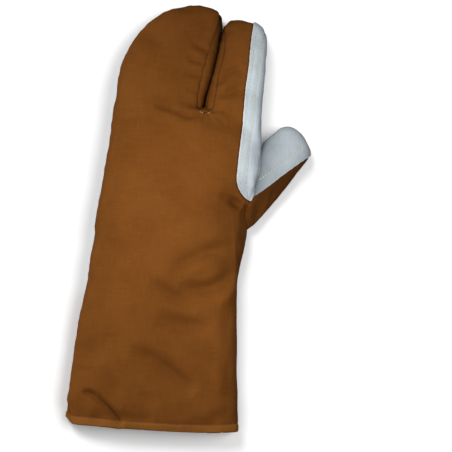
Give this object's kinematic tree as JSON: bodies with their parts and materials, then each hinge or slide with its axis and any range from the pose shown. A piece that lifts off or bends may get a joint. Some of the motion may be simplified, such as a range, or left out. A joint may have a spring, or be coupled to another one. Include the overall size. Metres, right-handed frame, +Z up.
{
  "type": "bakers glove",
  "caption": "Left hand bakers glove: padded brown canvas gauntlet with a pocket for the outer fingers, a free index finger, a thumb, and a pale split leather palm.",
  "frame": {"origin": "on the floor under the middle of the palm, where the glove lies on its palm", "axes": "+Y towards the finger tips along the hand, +X across the hand towards the thumb, +Z up through the back of the hand"},
  "size_m": [0.2224, 0.383, 0.0409],
  "materials": {
    "canvas": "brown cotton canvas, matt, fine plain weave",
    "split_leather": "pale blue grey split leather, matt suede nap"
  },
  "bodies": {
    "root": {"back_panel": "canvas", "cuff_palm_panel": "canvas", "cuff_hem": "canvas", "finger_gusset": "canvas", "thumb_back": "canvas", "palm_panel": "split_leather", "thumb_palm": "split_leather", "index_side_patch": "split_leather", "thumb_back_patch": "split_leather"}
  },
  "joints": []
}
